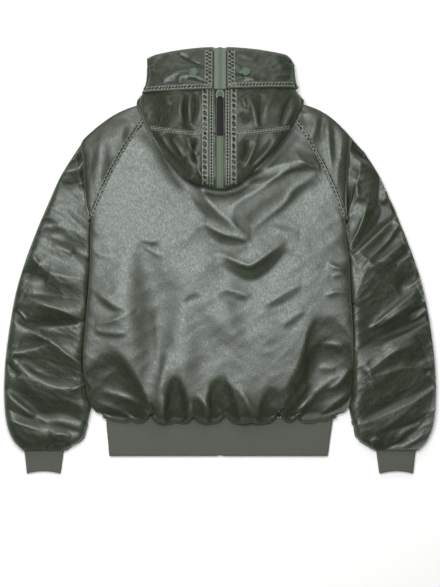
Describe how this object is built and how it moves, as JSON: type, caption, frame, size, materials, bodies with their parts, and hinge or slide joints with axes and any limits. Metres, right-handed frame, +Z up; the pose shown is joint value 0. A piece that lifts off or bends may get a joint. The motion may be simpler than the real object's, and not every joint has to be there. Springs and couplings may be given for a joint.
{
  "type": "hooded parka",
  "caption": "Short hooded flight parka in padded olive satin, lying flat with its back up: raglan sleeves, ribbed hem and cuffs, zipped hood thrown back.",
  "frame": {"origin": "on the surface that the parka lies on, in the middle of its outline", "axes": "+Z up from the surface, out of the parka's back; +Y from the hem to the head; -X to the wearer's left"},
  "size_m": [0.823, 0.8129, 0.0704],
  "materials": {
    "satin": "washed olive satin over wadding, soft sheen",
    "rib_knit": "matt fine rib knit",
    "zip_tape": "woven tape with a moulded coil",
    "zip_metal": "dark plated zinc",
    "pull_leather": "smooth black",
    "snap_enamel": "green enamel"
  },
  "bodies": {
    "coat": {"back_panel": "satin", "front_left": "satin", "front_right": "satin", "sleeve_back_left": "satin", "sleeve_back_right": "satin", "sleeve_front_left": "satin", "sleeve_front_right": "satin", "hood_under": "satin", "hood_chin_left": "satin", "hood_chin_right": "satin", "hood_back_left": "satin", "hood_back_right": "satin", "hood_top_left": "satin", "hood_top_right": "satin", "brim_left": "satin", "brim_right": "satin", "hem_rib": "rib_knit", "cuff_left": "rib_knit", "cuff_right": "rib_knit", "hood_zip": "zip_tape", "brim_zip": "zip_tape", "front_zip": "zip_tape", "hood_slider": "zip_metal", "front_slider": "zip_metal", "snap_left": "snap_enamel", "snap_right": "snap_enamel"},
    "hood_puller": {"hood_bail": "zip_metal", "hood_tab": "pull_leather"},
    "front_puller": {"front_pull": "zip_metal"}
  },
  "joints": [
    {"name": "hood_pull_hinge", "type": "hinge", "parent": "coat", "child": "hood_puller", "pos_m": [0, 0.31857, 0.06405], "axis": [-1, 0, 0], "range_deg": [0, 130]},
    {"name": "front_pull_hinge", "type": "hinge", "parent": "coat", "child": "front_puller", "pos_m": [0, 0.244, 0.0009], "axis": [1, 0, 0], "range_deg": [0, 130]}
  ]
}
